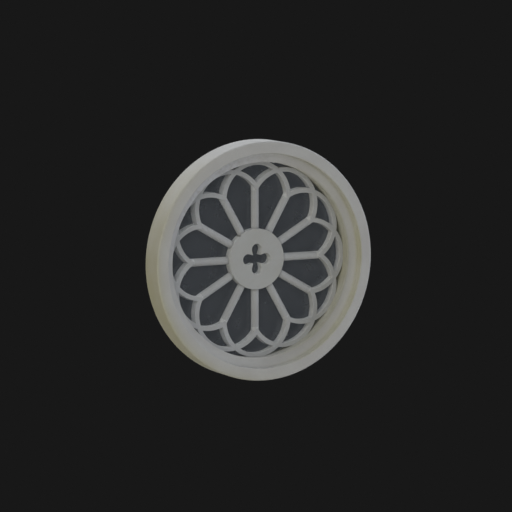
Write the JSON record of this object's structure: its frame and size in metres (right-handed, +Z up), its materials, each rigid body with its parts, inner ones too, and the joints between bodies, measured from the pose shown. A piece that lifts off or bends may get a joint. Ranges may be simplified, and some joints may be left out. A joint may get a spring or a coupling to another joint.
{
  "type": "gothic window",
  "caption": "Round gothic wheel window of cast stone: stepped frame ring, interlaced arcade, round colonnettes, hub pierced by a quatrefoil, and one pane of grey glass.",
  "frame": {"origin": "on the flat back face of the frame ring, at the middle of its lowest stretch, directly below the wheel's centre", "axes": "-Y out of the window's front, +Y into the wall, +Z up, +X to the right as seen from the front"},
  "size_m": [1.5, 0.2, 1.5],
  "materials": {
    "frame_stone": "cast stone, rubbed smooth, matt, faintly yellow where damp has stained it",
    "tracery_stone": "cast stone, rubbed smooth, matt",
    "grey_glass": "smooth grey glass"
  },
  "bodies": {
    "root": {"frame_ring": "frame_stone", "arcade_ring": "tracery_stone", "hub_disc": "tracery_stone", "colonnette_01": "tracery_stone", "colonnette_02": "tracery_stone", "colonnette_03": "tracery_stone", "colonnette_04": "tracery_stone", "colonnette_05": "tracery_stone", "colonnette_06": "tracery_stone", "colonnette_07": "tracery_stone", "colonnette_08": "tracery_stone", "colonnette_09": "tracery_stone", "colonnette_10": "tracery_stone", "colonnette_11": "tracery_stone", "colonnette_12": "tracery_stone", "glass_pane": "grey_glass"}
  },
  "joints": []
}
